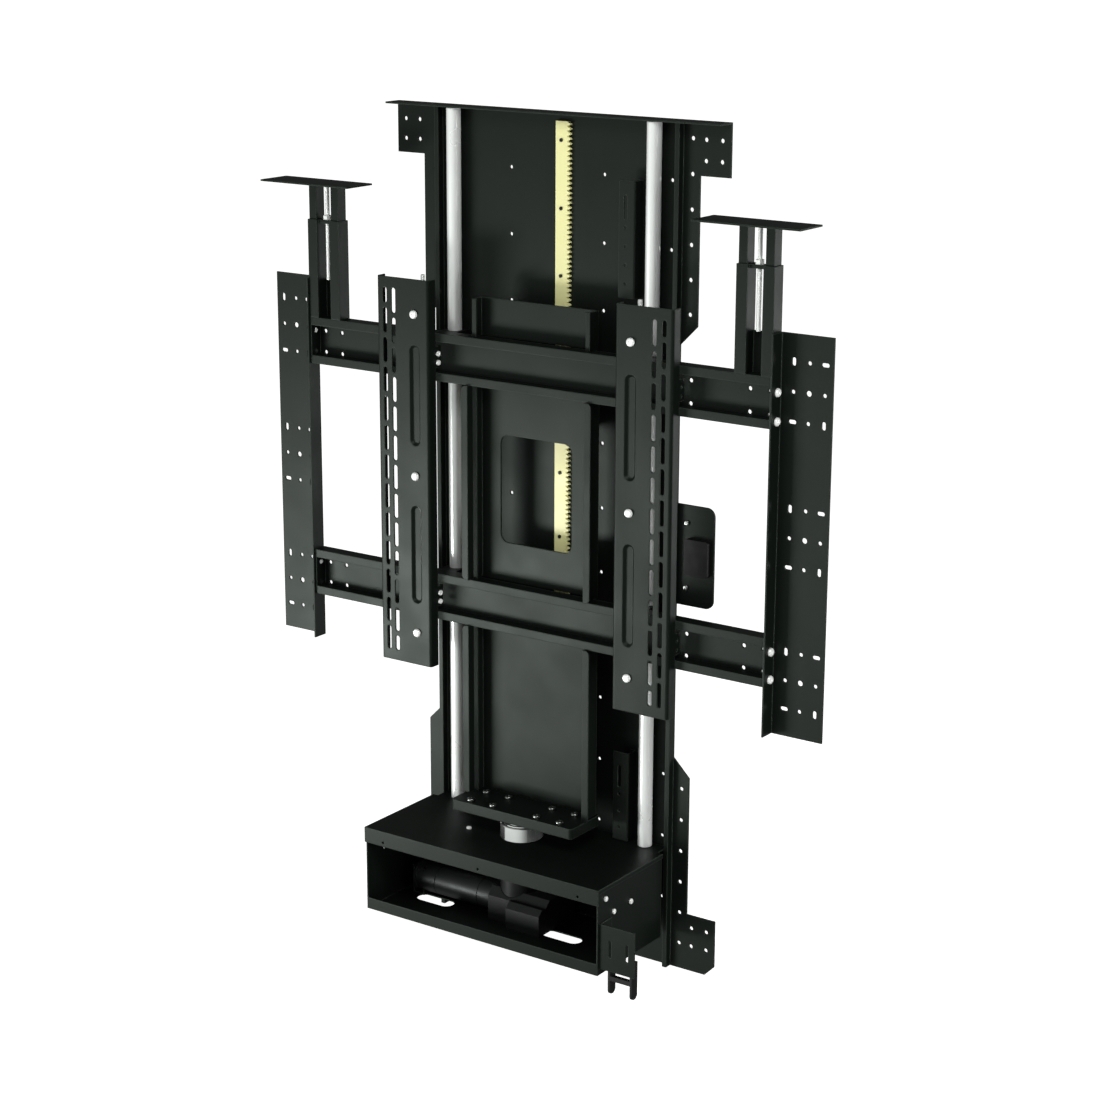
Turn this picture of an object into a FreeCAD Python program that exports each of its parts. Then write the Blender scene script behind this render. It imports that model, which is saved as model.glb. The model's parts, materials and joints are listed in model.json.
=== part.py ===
import FreeCAD, Part
import math
import os
import re
import Sketcher

# Electric TV lift. X is right, Y runs into the wall, Z is up.
# The wall plane is y = 0, z = 0 is the frame's bottom edge. Millimetres.

SIZES = {
    # wall frame
    "frame_tall": 1415,
    "frame_half": 238,
    "frame_sheet": 3,
    "flange_wide": 31,
    "flange_zone_top": 321,
    "flange_zone_bottom": 341,
    "flange_taper": 31,
    "ear_wide": 86,
    "ear_tall_top": 85,
    "ear_tall_bottom": 100,
    "ear_chamfer": 18,
    "rib_wide": 8,
    "rib_deep": 16,
    "top_lip_deep": 36,
    "wall_hole_dia": 7,
    "flange_hole_out": 16.5,
    "flange_hole_pitch": 55,
    "flange_hole_rows": 6,
    "flange_hole_from_top": 28,
    "flange_hole_from_bottom": 45,
    "ear_hole_out": 69.5,
    "ear_hole_step_x": 29,
    "ear_hole_step_z": 32.5,
    "ear_hole_from_top": 29,
    "ear_hole_from_bottom": 44.5,
    "plate_hole_dia": 6,
    "plate_hole_inner_x": 91,
    "plate_hole_in": 20,
    "plate_hole_from_top": 95,
    "plate_hole_from_bottom": 121,
    "plate_hole_rows": 12,
    # guide rails and bearings
    "rail_dia": 24,
    "rail_in": 43,
    "rail_off_wall": 20,
    "rail_clearance": 0.05,
    "bearing_wide": 52,
    "bearing_tall": 70,
    "bearing_wall_gap": 1.5,
    # rack and brake pinion
    "tooth_module": 2.5,
    "pressure_angle": 20,
    "rack_teeth": 104,
    "rack_left": 1,
    "rack_wide": 28,
    "rack_thick": 6,
    "rack_below_top": 15,
    "rack_screw_x": 11,
    "rack_screw_from_end": 30,
    "rack_screw_pitch": 109,
    "rack_screw_count": 8,
    "rack_screw_dia": 3.5,
    "rack_head_dia": 6,
    "rack_head_tall": 2,
    "pinion_teeth": 16,
    "pinion_below_beam": 36,
    "pinion_side_gap": 1.5,
    "pinion_face": 10,
    "mesh_clearance": 0.35,
    "pinion_shaft_dia": 12,
    "pinion_shaft_long": 34,
    "shaft_clearance": 0.05,
    "brake_wide": 58,
    "brake_from_rack": 8.5,
    "brake_corner": 8,
    # limit strips
    "strip_from_rail": 30,
    "strip_wide": 30,
    "strip_foot": 10,
    "strip_deep": 24,
    "strip_sheet": 2,
    "strip_bend": 2.5,
    "strip_upper_tall": 186,
    "strip_upper_from_top": 98,
    "strip_lower_tall": 156,
    "strip_slot_wide": 6,
    "strip_slot_long": 39,
    "strip_slot_in": 17.5,
    "strip_slot_from_top": 23,
    "strip_hole_dia": 5,
    "strip_hole_from_top": 74,
    "strip_hole_pitch": 29.7,
    # socket plate
    "socket_plate_wide": 70,
    "socket_plate_tall": 168,
    "socket_plate_z": 637,
    "socket_plate_round": 15,
    "socket_screw_in": 18.5,
    "socket_screw_end": 30,
    "socket_box_wide": 44,
    "socket_box_tall": 60,
    "socket_box_deep": 11,
    "socket_box_in": 20,
    "socket_box_round": 4,
    # drive box
    "box_front": 224,
    "box_back": 34,
    "box_bottom": 63,
    "box_tall": 147,
    "box_sheet": 2,
    "box_front_lip": 20,
    "lid_lip": 27,
    "lid_side_lip": 8,
    "lid_seat_gap": 0.5,
    "box_slot_long": 74,
    "box_slot_wide": 28,
    "box_slot_left_x": 160,
    "box_slot_right_x": 107,
    "box_slot_off_wall": 133,
    "side_screw_high": 22,
    "side_screw_low": 52,
    "side_screw_front": 22,
    "side_screw_middle": 46,
    "side_screw_back": 96,
    "lid_screw_x": 91,
    "lid_screw_off_wall": 128,
    "lid_hole_in": 38,
    "lid_hole_below": 20,
    # motor and gearbox
    "spindle_off_wall": 101,
    "motor_dia": 46,
    "motor_wall_gap": 23,
    "motor_lift": 5,
    "motor_end_x": 49,
    "motor_off_wall": 108,
    "motor_boss_dia": 20,
    "motor_boss_long": 26,
    "motor_flange_dia": 54,
    "motor_flange_thick": 8,
    "gearbox_right": 77,
    "gearbox_front": 142,
    "gearbox_back": 52,
    "gearbox_tall": 56,
    "gearbox_chamfer": 14,
    "cover_left": 9,
    "cover_deep": 18,
    "cover_tall": 46,
    "cover_chamfer": 10,
    "bracket_arm_thick": 3,
    "bracket_arm_wide": 40,
    "bracket_arm_spread": 24,
    # telescopic spindle
    "sleeve_dia": 72,
    "stage_step": 11,
    "stage_wall": 5,
    "stage_clearance": 0.5,
    "stage_top_step": 1.5,
    "stage_bottom_gap": 4,
    "sleeve_below_foot": 6,
    # carriage
    "foot_half": 124,
    "foot_front": 134,
    "foot_thick": 18,
    "foot_lift": 30,
    "foot_corner": 6,
    "foot_bolt_x": 91.5,
    "foot_bolt_step_x": 46.5,
    "foot_bolt_front": 13.5,
    "foot_bolt_step_y": 44.5,
    "panel_half": 116,
    "panel_off_wall": 53,
    "panel_sheet": 3,
    "panel_deep": 25,
    "panel_lip": 8,
    "panel_tall": 852,
    "window_half": 71.5,
    "window_off": 3.5,
    "window_tall": 183,
    "window_lift": 66,
    "window_round": 15,
    "cheek_sheet": 2.5,
    "cheek_lip": 12.5,
    "cheek_front": 93,
    "cheek_round": 8,
    # cross beams
    "beam_half": 454,
    "beam_tall": 80,
    "beam_deep": 26,
    "beam_back": 62,
    "beam_sheet": 3,
    "beam_lip": 14,
    "beam_upper_z": 969,
    "beam_lower_z": 558,
    "beam_hole_dia": 7,
    "beam_hole_x": 439,
    "beam_hole_step_x": 36,
    "beam_hole_inner_x": 297,
    "beam_hole_z": 17,
    "beam_hole_step_z": 36.5,
    # screen brackets
    "screen_x": 183.5,
    "screen_wide": 107,
    "screen_deep": 20,
    "screen_sheet": 2.5,
    "screen_bend": 5,
    "screen_z": 476,
    "screen_tall": 662,
    "slot_wide": 8.5,
    "slot_long": 42,
    "slot_short": 26,
    "slot_pitch": 50,
    "slot_rows": 12,
    "slot_outer_in": 16.5,
    "slot_inner_in": 34.5,
    "slot_from_end": 18,
    "tongue_reach": 14,
    "tongue_gap": 8,
    "groove_wide": 21.5,
    "groove_long": 171,
    "groove_sink": 5,
    "groove_slope": 4.5,
    "groove_from_bolt": 51,
    "screen_bolt_in": 29.5,
    "screen_bolt_from_top": 58,
    "screen_bolt_pitch": 273.5,
    "hook_wide": 36,
    "hook_from_top": 38,
    "hook_reach": 32,
    "hook_thick": 3,
    "level_screw_dia": 8,
    "level_screw_above": 5,
    "level_screw_from_front": 25,
    "clamp_from_tongue": 8,
    "clamp_step": 15,
    # wings
    "wing_sheet": 2.5,
    "wing_wide": 92.5,
    "wing_flange": 30,
    "wing_bend": 3,
    "wing_z": 477,
    "wing_tall": 638.5,
    "wing_hole_dia": 6.5,
    "wing_centre_dia": 9,
    "wing_slot_long": 13,
    "wing_column_in": 14.5,
    "wing_column_step": 27,
    "wing_row_step": 46.5,
    "wing_group_pitch": 229,
    "wing_group_from_top": 89.5,
    "wing_bolt_low": 10,
    "wing_bolt_step": 45,
    # masts
    "mast_wide": 66.5,
    "mast_tube": 19.5,
    "mast_wall": 1.8,
    "mast_tall": 167,
    "mast_infill_tall": 64,
    "mast_tie_thick": 6,
    "mast_tie_deep": 16,
    "mast_clearance": 0.5,
    "mast_show": 63,
    "mast_hidden": 108,
    "mast_inner_wall": 1.5,
    "mast_plate_wide": 187.5,
    "mast_plate_deep": 66,
    "mast_plate_thick": 3,
    "mast_plate_back": 2.5,
    "mast_plate_in": 5,
    "mast_rod_dia": 8,
    "mast_rod_long": 165,
    # cable chain
    "chain_plate_wide": 68,
    "chain_plate_tall": 78,
    "chain_plate_z": 75,
    "chain_plate_in": 4,
    "chain_sheet": 2.5,
    "chain_leg": 34,
    "chain_slot_wide": 5,
    "chain_slot_long": 30,
    "chain_slot_in": 21,
    "chain_slot_step": 32.5,
    "link_wide": 46,
    "link_cheek": 4,
    "link_deep": 17,
    "link_tall": 64,
    "link_lap": 22,
    "link_bar": 8,
    "link_bar_drop": 39,
    "link_in": 16,
    # fasteners
    "bolt_dia": 8,
    "bolt_head_dia": 14,
    "bolt_head_tall": 5,
    "screw_dia": 5,
    "screw_head_dia": 9,
    "screw_head_tall": 3,
    "hole_clearance": 0.3,
    "nut_across": 13,
    "nut_tall": 7,
}

# Places worked out from the sizes above. Depths in front of the wall are negative y.
PLACES = {
    "flange_half": "frame_half + flange_wide",
    "ear_half": "frame_half + ear_wide",
    "flange_hole_x": "frame_half + flange_hole_out",
    "ear_hole_x": "frame_half + ear_hole_out",
    "plate_hole_outer_x": "frame_half - plate_hole_in",
    "plate_hole_pitch": "(frame_tall - plate_hole_from_top - plate_hole_from_bottom) / (plate_hole_rows - 1)",
    "rail_x": "frame_half - rail_in",
    "strip_x": "rail_x - strip_from_rail",
    "box_half": "frame_half",
    "lid_hole_x": "box_half - lid_hole_in",
    "motor_long": "box_half - box_sheet - motor_wall_gap - bracket_arm_spread - motor_end_x",
    "plate_face": "-frame_sheet",
    "lip_under": "frame_tall - frame_sheet",
    "rail_y": "-rail_off_wall",
    "tray_top": "box_bottom + box_tall",
    "lid_top": "tray_top + box_sheet",
    "floor_top": "box_bottom + box_sheet",
    "foot_z": "lid_top + foot_lift",
    "foot_top": "foot_z + foot_thick",
    "panel_top": "foot_top + panel_tall",
    "panel_face": "-(panel_off_wall + panel_sheet)",
    "panel_front": "-(panel_off_wall + panel_deep)",
    "beam_face": "-beam_back",
    "beam_front": "-(beam_back + beam_deep)",
    "beam_upper_top": "beam_upper_z + beam_tall",
    "beam_lower_top": "beam_lower_z + beam_tall",
    "screen_front": "beam_front - screen_deep",
    "screen_face": "screen_front + screen_sheet",
    "screen_end": "screen_x + screen_wide",
    "screen_top": "screen_z + screen_tall",
    "screen_bolt_x": "screen_x + screen_bolt_in",
    "screen_bolt_z": "screen_top - screen_bolt_from_top",
    "tongue_tall": "beam_tall - 2 * beam_lip - 2 * tongue_gap",
    "tongue_back": "beam_front + tongue_reach",
    "tongue_upper_z": "beam_upper_z + beam_lip + tongue_gap",
    "tongue_lower_z": "beam_lower_z + beam_lip + tongue_gap",
    "hook_z": "screen_top - hook_from_top",
    "wing_back": "beam_face",
    "wing_outer": "beam_half + wing_wide",
    "wing_top": "wing_z + wing_tall",
    "mast_outer": "beam_half",
    "mast_inner": "beam_half - mast_wide",
    "mast_x": "beam_half - mast_wide / 2",
    "mast_y": "-(beam_back + beam_deep / 2)",
    "mast_top": "beam_upper_top + mast_tall",
    "mast_plate_z": "mast_top + mast_show",
    "spindle_y": "-spindle_off_wall",
    "motor_z": "floor_top + motor_lift + motor_dia / 2",
    "motor_y": "-motor_off_wall",
    "gearbox_left": "-(motor_end_x - motor_flange_thick)",
    "tooth_pitch": "pi * tooth_module",
    "rack_top": "frame_tall - rack_below_top",
    "rack_z": "rack_top - rack_teeth * tooth_pitch",
    "rack_face": "-(frame_sheet + rack_thick)",
    "pitch_line": "rack_left + rack_wide - tooth_module",
    "pinion_radius": "pinion_teeth * tooth_module / 2",
    "pinion_x": "pitch_line + pinion_radius + mesh_clearance",
    "pinion_rack_tooth": "floor((beam_upper_z - pinion_below_beam - rack_z) / tooth_pitch)",
    "pinion_z": "rack_z + (pinion_rack_tooth + 0.5) * tooth_pitch",
    "pinion_back": "-(frame_sheet + pinion_side_gap)",
    "brake_back": "rack_face - brake_from_rack",
}

doc = FreeCAD.newDocument("electric_tv_lift")
sheet = doc.addObject("Spreadsheet::Sheet", "Sizes")
for row, (name, size) in enumerate(SIZES.items(), start=1):
    sheet.set(f"A{row}", name)
    sheet.set(f"B{row}", str(size))
    sheet.setAlias(f"B{row}", name)
workings = doc.addObject("Spreadsheet::Sheet", "Workings")
doc.recompute()

NODES = {}
WORD = re.compile(r"[a-z_]+")
vector = FreeCAD.Vector
UP = vector(0, 0, 1)


def spelled(text):
    """Write out a formula in driving sizes only."""
    def word(match):
        name = match.group(0)
        if name in PLACES:
            return "(" + spelled(PLACES[name]) + ")"
        return "Sizes." + name if name in SIZES else name
    return WORD.sub(word, str(text))


def bind(thing, path, text):
    thing.setExpression(path, spelled(text))


def number(text):
    """The present value of a formula, worked out in a sheet nothing hangs on."""
    workings.set("A1", "=" + spelled(text))
    workings.recompute()
    return float(workings.get("A1"))


def node(name, thing):
    thing.Label = name
    NODES[name] = thing
    return thing


def place(thing, x, y, z):
    bind(thing, "Placement.Base.x", x)
    bind(thing, "Placement.Base.y", y)
    bind(thing, "Placement.Base.z", z)


def block(x, y, z):
    """A box from pairs of formulas, low and high along each axis."""
    box = doc.addObject("Part::Box", "block")
    for side, (low, high) in zip(("Length", "Width", "Height"), (x, y, z)):
        bind(box, side, f"({high}) - ({low})")
    place(box, x[0], y[0], z[0])
    return box


TURNS = {"x": FreeCAD.Rotation(vector(0, 1, 0), 90),
         "y": FreeCAD.Rotation(vector(1, 0, 0), -90),
         "z": FreeCAD.Rotation()}


def bar(axis, dia, long, x, y, z):
    """A round bar that starts at the point and runs along the positive axis."""
    rod = doc.addObject("Part::Cylinder", "bar")
    bind(rod, "Radius", f"({dia}) / 2")
    bind(rod, "Height", long)
    rod.Placement.Rotation = TURNS[axis]
    place(rod, x, y, z)
    return rod


def fuse(*shapes):
    joined = doc.addObject("Part::MultiFuse", "joined")
    joined.Shapes = list(shapes)
    joined.Refine = True
    return joined


def cut(base, *tools):
    rest = doc.addObject("Part::Cut", "rest")
    rest.Base = base
    rest.Tool = tools[0] if len(tools) == 1 else fuse(*tools)
    rest.Refine = True
    return rest


def group(*shapes):
    loose = doc.addObject("Part::Compound", "loose")
    loose.Links = list(shapes)
    return loose


def mirrored(source):
    twin = doc.addObject("Part::Mirroring", "twin")
    twin.Source = source
    twin.Normal = vector(1, 0, 0)
    return twin


def pinned(axis, side, head, head_tall, dia, long, x, y, z):
    """A fastener whose head sits on the point; side is the way the head faces."""
    steps = {"x": (1, 0, 0), "y": (0, 1, 0), "z": (0, 0, 1)}[axis]
    if side > 0:
        offsets = ("0", f"-({long})")
    else:
        offsets = (f"-({head_tall})", "0")
    spots = [[f"({c}) + ({o}) * {s}" for c, s in zip((x, y, z), steps)] for o in offsets]
    top = bar(axis, head, head_tall, *spots[0])
    shank = bar(axis, dia, long, *spots[1])
    return fuse(top, shank)


def bolt(axis, side, long, x, y, z):
    return pinned(axis, side, "bolt_head_dia", "bolt_head_tall", "bolt_dia", long, x, y, z)


def screw(axis, side, long, x, y, z):
    return pinned(axis, side, "screw_head_dia", "screw_head_tall", "screw_dia", long, x, y, z)


def body(name):
    piece = doc.addObject("PartDesign::Body", name)
    return node(name, piece)


def origin(piece, role):
    return next(item for item in piece.Origin.OriginFeatures if item.Role == role)


def sketch(piece, role, lift="0"):
    """A sketch on one of the body's own planes, lifted along that plane's normal."""
    drawing = piece.newObject("Sketcher::SketchObject", "drawing")
    drawing.AttachmentSupport = (origin(piece, role), [""])
    drawing.MapMode = "FlatFace"
    bind(drawing, "AttachmentOffset.Base.z", lift)
    return drawing


def hold(drawing, kind, text, *points):
    """A dimension bound to a formula."""
    index = drawing.addConstraint(Sketcher.Constraint(kind, *points, number(text)))
    label = f"size_{index}"
    drawing.renameConstraint(index, label)
    bind(drawing, f"Constraints.{label}", text)


def pin(drawing, edge, end, across, along):
    hold(drawing, "DistanceX", across, -1, 1, edge, end)
    hold(drawing, "DistanceY", along, -1, 1, edge, end)


def outline(drawing, corners):
    """A closed outline through corners given as pairs of formulas."""
    spots = [vector(number(a), number(b), 0) for a, b in corners]
    first = drawing.GeometryCount
    count = len(spots)
    for index in range(count):
        drawing.addGeometry(Part.LineSegment(spots[index], spots[(index + 1) % count]), False)
    for index in range(count):
        drawing.addConstraint(Sketcher.Constraint(
            "Coincident", first + index, 2, first + (index + 1) % count, 1))
    for index, (across, along) in enumerate(corners):
        pin(drawing, first + index, 1, across, along)
    return drawing


def rectangle(drawing, x, y):
    return outline(drawing, [(x[0], y[0]), (x[1], y[0]), (x[1], y[1]), (x[0], y[1])])


def circle(drawing, across, along, dia):
    spot = vector(number(across), number(along), 0)
    index = drawing.addGeometry(Part.Circle(spot, UP, number(dia) / 2), False)
    hold(drawing, "Diameter", dia, index)
    pin(drawing, index, 3, across, along)


def slot(drawing, across, along, long, wide, upright):
    """A round-ended slot about its centre."""
    reach = f"(({long}) - ({wide})) / 2"
    half = number(wide) / 2
    middle = vector(number(across), number(along), 0)
    run = vector(0, number(reach), 0) if upright else vector(number(reach), 0, 0)
    turn = 0 if upright else -math.pi / 2
    side = vector(half, 0, 0) if upright else vector(0, -half, 0)
    far = drawing.addGeometry(Part.ArcOfCircle(
        Part.Circle(middle + run, UP, half), turn, turn + math.pi), False)
    near = drawing.addGeometry(Part.ArcOfCircle(
        Part.Circle(middle - run, UP, half), turn + math.pi, turn + 2 * math.pi), False)
    left = drawing.addGeometry(Part.LineSegment(middle + run - side, middle - run - side), False)
    right = drawing.addGeometry(Part.LineSegment(middle - run + side, middle + run + side), False)
    for first, end, second, start in ((far, 2, left, 1), (left, 2, near, 1),
                                      (near, 2, right, 1), (right, 2, far, 1)):
        drawing.addConstraint(Sketcher.Constraint("Tangent", first, end, second, start))
    drawing.addConstraint(Sketcher.Constraint("Equal", far, near))
    hold(drawing, "Radius", f"({wide}) / 2", far)
    if upright:
        pin(drawing, far, 3, across, f"({along}) + {reach}")
        pin(drawing, near, 3, across, f"({along}) - {reach}")
    else:
        pin(drawing, far, 3, f"({across}) + {reach}", along)
        pin(drawing, near, 3, f"({across}) - {reach}", along)


def pad(piece, drawing, long, both=False, backwards=False):
    feature = piece.newObject("PartDesign::Pad", "pad")
    feature.Profile = drawing
    feature.Reversed = backwards
    if both:
        feature.SideType = "Symmetric"
    bind(feature, "Length", long)
    return feature


def pocket(piece, drawing, depth=None):
    """A cut right through both ways, or to a depth against the plane's normal."""
    feature = piece.newObject("PartDesign::Pocket", "pocket")
    feature.Profile = drawing
    if depth is None:
        feature.Type = "ThroughAll"
        feature.SideType = "Symmetric"
    else:
        bind(feature, "Length", depth)
    return feature


def row(piece, feature, role, pitch, count, backwards=False):
    """Repeat a feature along one of the body's own axes."""
    pattern = piece.newObject("PartDesign::LinearPattern", "row")
    pattern.Originals = [feature]
    pattern.Direction = (origin(piece, role), [""])
    pattern.Reversed = backwards
    bind(pattern, "Length", f"({pitch}) * (({count}) - 1)")
    bind(pattern, "Occurrences", count)
    piece.Tip = pattern
    return pattern


def rounded(piece, radius, wanted):
    """Round the straight edges that pass the test given."""
    doc.recompute()
    base = piece.Tip
    edges = [f"Edge{index}" for index, edge in enumerate(base.Shape.Edges, start=1)
             if edge.Curve.TypeId == "Part::GeomLine" and wanted(edge)]
    feature = piece.newObject("PartDesign::Fillet", "rounding")
    feature.Base = (base, edges)
    bind(feature, "Radius", radius)
    piece.Tip = feature
    return feature


def sloped(piece, size, wanted):
    """Slope back the edges that pass the test given."""
    doc.recompute()
    base = piece.Tip
    edges = [f"Edge{index}" for index, edge in enumerate(base.Shape.Edges, start=1) if wanted(edge)]
    feature = piece.newObject("PartDesign::Chamfer", "slope")
    feature.Base = (base, edges)
    bind(feature, "Size", size)
    piece.Tip = feature
    return feature


def runs(edge, axis):
    """True where a straight edge runs along the axis."""
    sides = (edge.BoundBox.XLength, edge.BoundBox.YLength, edge.BoundBox.ZLength)
    return all(size < 1e-6 for index, size in enumerate(sides) if "xyz"[index] != axis)


def near(value, text):
    return abs(value - number(text)) < 1e-4


# Fixed frame


def wall_frame():
    piece = body("wall_frame")
    half = [("frame_half", "flange_zone_bottom + flange_taper"),
            ("flange_half", "flange_zone_bottom"),
            ("flange_half", "ear_tall_bottom"),
            ("ear_half", "ear_tall_bottom"),
            ("ear_half", "ear_chamfer"),
            ("ear_half - ear_chamfer", "0")]
    top = [("ear_half", "frame_tall"),
           ("ear_half", "frame_tall - ear_tall_top"),
           ("flange_half", "frame_tall - ear_tall_top"),
           ("flange_half", "frame_tall - flange_zone_top"),
           ("frame_half", "frame_tall - flange_zone_top - flange_taper")]
    right = top + half
    left = [(f"-({across})", along) for across, along in reversed(right)]
    pad(piece, outline(sketch(piece, "XZ_Plane"), right + left), "frame_sheet")
    ribs = sketch(piece, "XY_Plane")
    for sign in ("", "-"):
        rectangle(ribs, (f"{sign}(frame_half - rib_wide)", f"{sign}frame_half"), ("-rib_deep", "0"))
    pad(piece, ribs, "frame_tall")
    hollows = sketch(piece, "XY_Plane")
    for sign in ("", "-"):
        rectangle(hollows, (f"{sign}(frame_half - rib_wide + frame_sheet)",
                            f"{sign}(frame_half - frame_sheet)"), ("-(rib_deep - frame_sheet)", "0"))
    pocket(piece, hollows)
    lip = rectangle(sketch(piece, "XY_Plane", "frame_tall"), ("-ear_half", "ear_half"), ("-top_lip_deep", "0"))
    pad(piece, lip, "frame_sheet", backwards=True)
    plate_row = sketch(piece, "XZ_Plane")
    for across in ("plate_hole_inner_x", "plate_hole_outer_x"):
        circle(plate_row, across, "frame_tall - plate_hole_from_top", "plate_hole_dia")
        circle(plate_row, f"-{across}", "frame_tall - plate_hole_from_top", "plate_hole_dia")
    row(piece, pocket(piece, plate_row), "Z_Axis", "plate_hole_pitch", "plate_hole_rows", True)
    ends = (("frame_tall - flange_hole_from_top", True), ("flange_hole_from_bottom", False))
    for along, downwards in ends:
        flange_row = sketch(piece, "XZ_Plane")
        circle(flange_row, "flange_hole_x", along, "wall_hole_dia")
        row(piece, pocket(piece, flange_row), "Z_Axis", "flange_hole_pitch", "flange_hole_rows", downwards)
    ears = sketch(piece, "XZ_Plane")
    for sign in ("", "-"):
        for across in ("ear_hole_x", "(ear_hole_x - ear_hole_step_x)"):
            for along in ("frame_tall - ear_hole_from_top", "ear_hole_from_bottom"):
                step = "-" if along.startswith("frame") else "+"
                circle(ears, f"{sign}{across}", along, "wall_hole_dia")
                circle(ears, f"{sign}{across}", f"{along} {step} ear_hole_step_z", "wall_hole_dia")
    piece.Tip = pocket(piece, ears)


def guide_rails():
    for side, sign in (("left", "-"), ("right", "")):
        rail = bar("z", "rail_dia", "lip_under - lid_top", f"{sign}rail_x", "rail_y", "lid_top")
        node(f"guide_rail_{side}", rail)


def gear_rack():
    """A straight rack with its teeth towards positive X."""
    module = number("tooth_module")
    pitch = number("tooth_pitch")
    tip = number("rack_left + rack_wide")
    root = tip - 2.25 * module
    slope = math.tan(math.radians(number("pressure_angle")))
    half = pitch / 4
    left = number("rack_left")
    low = number("rack_z")
    high = number("rack_top")
    back = -number("frame_sheet")
    points = [vector(left, back, low), vector(root, back, low)]
    for index in range(int(number("rack_teeth"))):
        middle = low + (index + 0.5) * pitch
        foot = half + 1.25 * module * slope
        crest = half - module * slope
        points += [vector(root, back, middle - foot), vector(tip, back, middle - crest),
                   vector(tip, back, middle + crest), vector(root, back, middle + foot)]
    points += [vector(root, back, high), vector(left, back, high), points[0]]
    face = Part.Face(Part.makePolygon(points))
    rack = doc.addObject("Part::Feature", "rack")
    rack.Shape = face.extrude(vector(0, -number("rack_thick"), 0))
    holes = []
    screws = []
    for index in range(int(number("rack_screw_count"))):
        along = f"rack_top - rack_screw_from_end - {index} * rack_screw_pitch"
        across = "rack_left + rack_screw_x"
        holes.append(bar("y", "rack_screw_dia + 2 * hole_clearance", "rack_thick", across, "rack_face", along))
        screws.append(pinned("y", -1, "rack_head_dia", "rack_head_tall", "rack_screw_dia", "rack_thick",
                             across, "rack_face", along))
    node("gear_rack", cut(rack, *holes))
    node("rack_screws", group(*screws))


def limit_strip(name, low, tall):
    """A slotted channel that stands on the back plate, open towards the rack."""
    piece = body(name)
    front = "plate_face - strip_deep"
    channel = sketch(piece, "XY_Plane", low)
    outline(channel, [("strip_x - strip_foot", "plate_face"),
                      ("strip_x - strip_foot", "plate_face - strip_sheet"),
                      ("strip_x - strip_sheet", "plate_face - strip_sheet"),
                      ("strip_x - strip_sheet", f"{front} + strip_sheet"),
                      ("strip_x - strip_wide", f"{front} + strip_sheet"),
                      ("strip_x - strip_wide", front),
                      ("strip_x", front),
                      ("strip_x", "plate_face")])
    pad(piece, channel, tall)
    rounded(piece, "strip_bend", lambda line: runs(line, "z") and near(line.BoundBox.XMin, "strip_x")
            and near(line.BoundBox.YMin, front))
    across = "strip_x - strip_slot_in"
    opening = sketch(piece, "XZ_Plane")
    slot(opening, across, f"{low} + {tall} - strip_slot_from_top - strip_slot_long / 2",
         "strip_slot_long", "strip_slot_wide", True)
    pocket(piece, opening)
    dots = sketch(piece, "XZ_Plane")
    circle(dots, across, f"{low} + {tall} - strip_hole_from_top", "strip_hole_dia")
    count = f"floor(({tall} - strip_hole_from_top) / strip_hole_pitch) + 1"
    row(piece, pocket(piece, dots), "Z_Axis", "strip_hole_pitch", count, True)


def socket():
    piece = body("socket_plate")
    edge = "frame_half + socket_plate_wide"
    high = "socket_plate_z + socket_plate_tall"
    pad(piece, rectangle(sketch(piece, "XZ_Plane"), ("frame_half", edge), ("socket_plate_z", high)), "frame_sheet")
    rounded(piece, "socket_plate_round", lambda line: runs(line, "y") and near(line.BoundBox.XMax, edge))
    screws = []
    holes = sketch(piece, "XZ_Plane")
    across = "frame_half + socket_screw_in"
    for along in ("socket_plate_z + socket_screw_end", f"{high} - socket_screw_end"):
        circle(holes, across, along, "screw_dia + 2 * hole_clearance")
        screws.append(screw("y", -1, "frame_sheet", across, "plate_face", along))
    piece.Tip = pocket(piece, holes)
    node("socket_screws", group(*screws))
    box = body("socket_box")
    low = "socket_plate_z + (socket_plate_tall - socket_box_tall) / 2"
    face = rectangle(sketch(box, "XZ_Plane", "frame_sheet"),
                     ("frame_half + socket_box_in", "frame_half + socket_box_in + socket_box_wide"),
                     (low, f"{low} + socket_box_tall"))
    pad(box, face, "socket_box_deep")
    rounded(box, "socket_box_round", lambda line: runs(line, "y"))


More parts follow.
